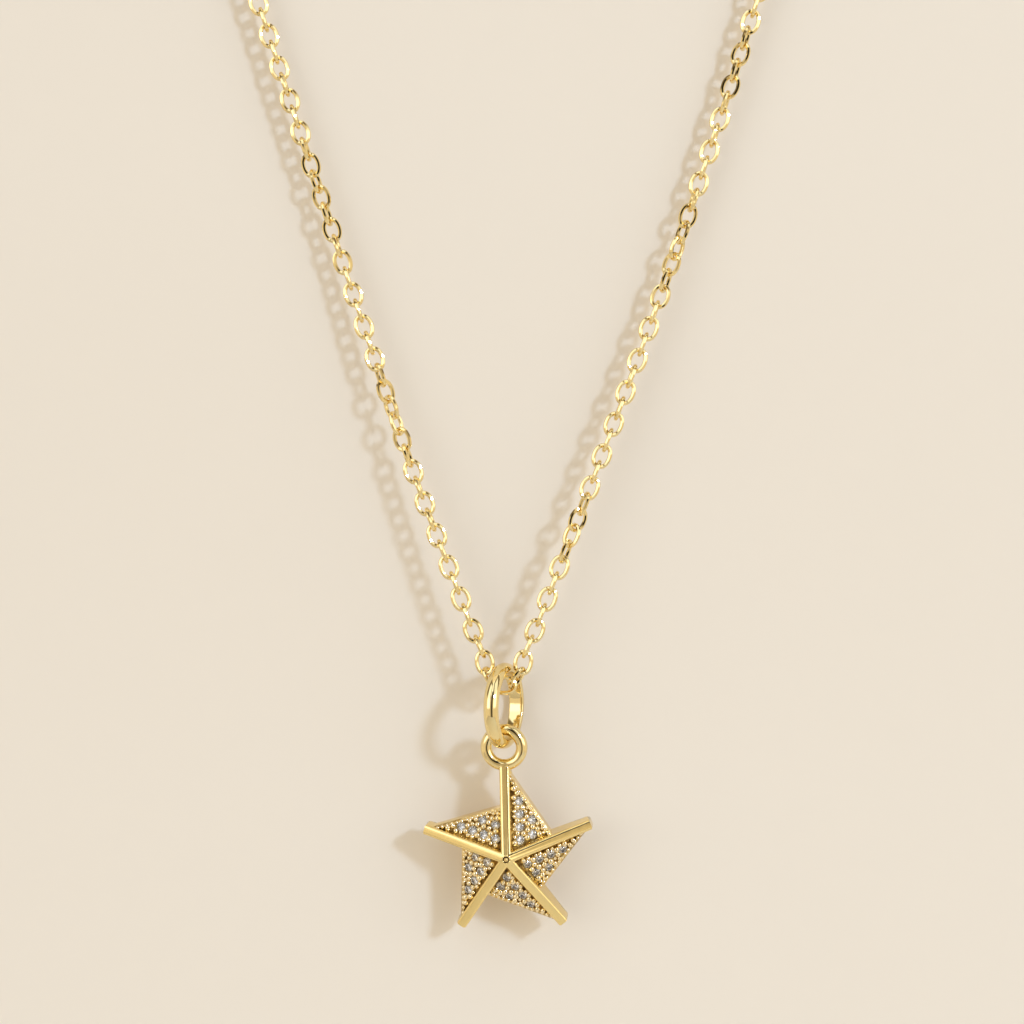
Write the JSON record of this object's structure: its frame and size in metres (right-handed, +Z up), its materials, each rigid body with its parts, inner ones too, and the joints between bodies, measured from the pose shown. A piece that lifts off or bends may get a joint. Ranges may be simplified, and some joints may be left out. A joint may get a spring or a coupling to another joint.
{
  "type": "star pendant necklace",
  "caption": "Star pendant with ridged arms and stone-set panels, hung by a ring and a round bail on a fine cable chain that closes at a clasp.",
  "frame": {"origin": "top of the neck hollow, right under the clasp, where the chain lies on the back of the neck", "axes": "+Z up as worn, -Y out of the front towards the viewer, +X to the viewer's right"},
  "size_m": [0.0826, 0.0066, 0.2205],
  "materials": {
    "gold": "polished, gold plated",
    "stones": "cut and polished"
  },
  "bodies": {
    "root": {"chain_front": "gold", "chain_back": "gold", "clasp": "gold"},
    "bail": {"bail": "gold"},
    "star": {"star_setting": "gold", "stones_top": "stones", "stones_right": "stones", "stones_lower_right": "stones", "stones_lower_left": "stones", "stones_left": "stones"}
  },
  "joints": [
    {"name": "bail_swing", "type": "hinge", "parent": "root", "child": "bail", "pos_m": [0, 0, -0.195], "axis": [0.9367, -0.3502, 0], "range_deg": [-60, 60]},
    {"name": "star_swing", "type": "hinge", "parent": "bail", "child": "star", "pos_m": [0, 0, -0.19997], "axis": [-0.0957, -0.994, -0.0523], "range_deg": [-45, 45]}
  ]
}
